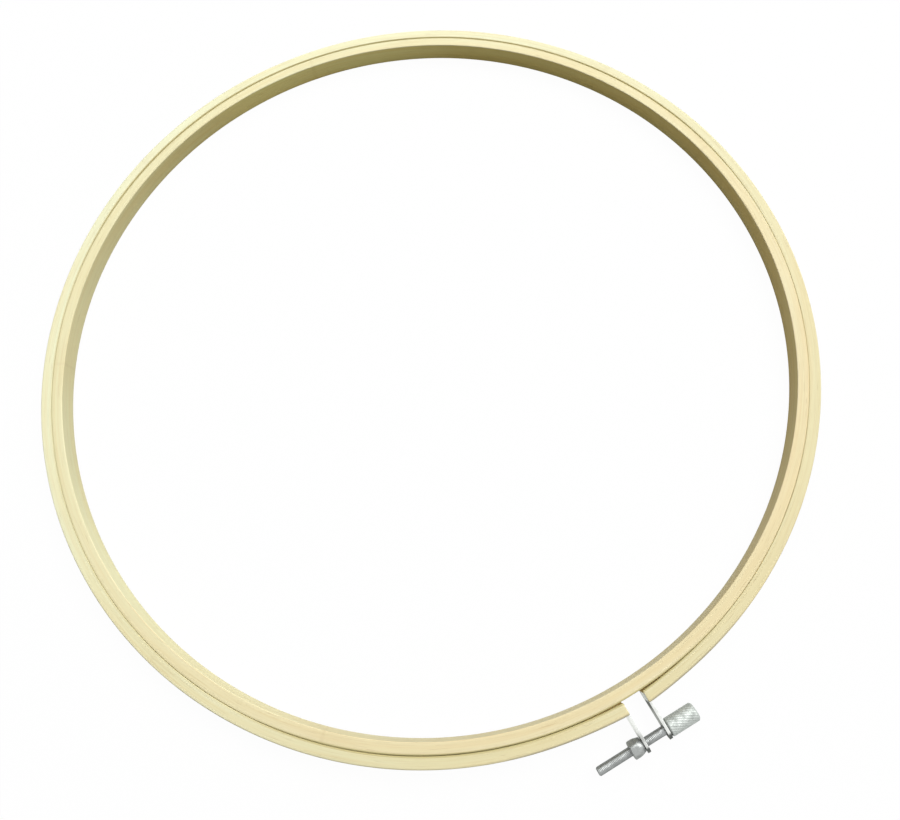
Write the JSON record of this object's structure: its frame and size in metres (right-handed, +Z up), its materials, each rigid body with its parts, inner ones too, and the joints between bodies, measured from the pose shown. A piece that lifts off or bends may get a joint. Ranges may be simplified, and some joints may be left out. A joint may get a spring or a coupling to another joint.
{
  "type": "embroidery hoop",
  "caption": "Round bamboo embroidery hoop: a plain inner ring inside a split outer ring, drawn tight by a knurled thumb screw and nut through riveted steel brackets.",
  "frame": {"origin": "bottom centre of the whole part's box, on the surface that the hoop lies on, 6.8 mm in front of the rings' own axis", "axes": "+Z up, along the rings' axis; -Y from the crown towards the split and its clamp; +X from the nut towards the thumb screw's head"},
  "size_m": [0.3, 0.3136, 0.0077],
  "materials": {
    "inner_bamboo": "pale bamboo, sanded, lightly waxed",
    "outer_bamboo": "pale bamboo, sanded, lightly waxed",
    "bracket_plate": "thin sheet steel, nickel plated",
    "rivet_steel": "nickel plated",
    "nut_steel": "nickel plated, slightly dull",
    "screw_steel": "nickel plated thread",
    "screw_head": "nickel plated, knurled"
  },
  "bodies": {
    "nut_side_arm": {"outer_ring_nut_half": "outer_bamboo", "nut_side_bracket": "bracket_plate", "nut_side_rivet_1": "rivet_steel", "nut_side_rivet_2": "rivet_steel"},
    "screw_side_arm": {"outer_ring_head_half": "outer_bamboo", "head_side_bracket": "bracket_plate", "head_side_rivet_1": "rivet_steel", "head_side_rivet_2": "rivet_steel"},
    "thumb_screw": {"thumb_screw_shank": "screw_steel", "thumb_screw_head": "screw_head"},
    "nut": {"clamp_nut": "nut_steel"},
    "inner_hoop": {"inner_ring": "inner_bamboo"}
  },
  "joints": [
    {"name": "clamp_open", "type": "hinge", "parent": "nut_side_arm", "child": "screw_side_arm", "pos_m": [0, 0.1568, 0.00385], "axis": [0, 0, 1], "range_deg": [0, 2.21]},
    {"name": "screw_turn", "type": "hinge", "parent": "screw_side_arm", "child": "thumb_screw", "pos_m": [0.00505, -0.1536, 0.00385], "axis": [1, 0, 0], "range_deg": [0, 8640]},
    {"name": "nut_travel", "type": "slide", "parent": "screw_side_arm", "child": "nut", "axis": [-1, 0, 0], "range_m": [0, 0.01201]},
    {"name": "inner_ring_lift", "type": "slide", "parent": "nut_side_arm", "child": "inner_hoop", "axis": [0, 0, 1], "range_m": [0, 0.03]}
  ],
  "couplings": [
    {"joint": "screw_turn", "follows": "clamp_open", "ratio": 3900.6},
    {"joint": "nut_travel", "follows": "clamp_open", "m_per_rad": 0.3104}
  ]
}
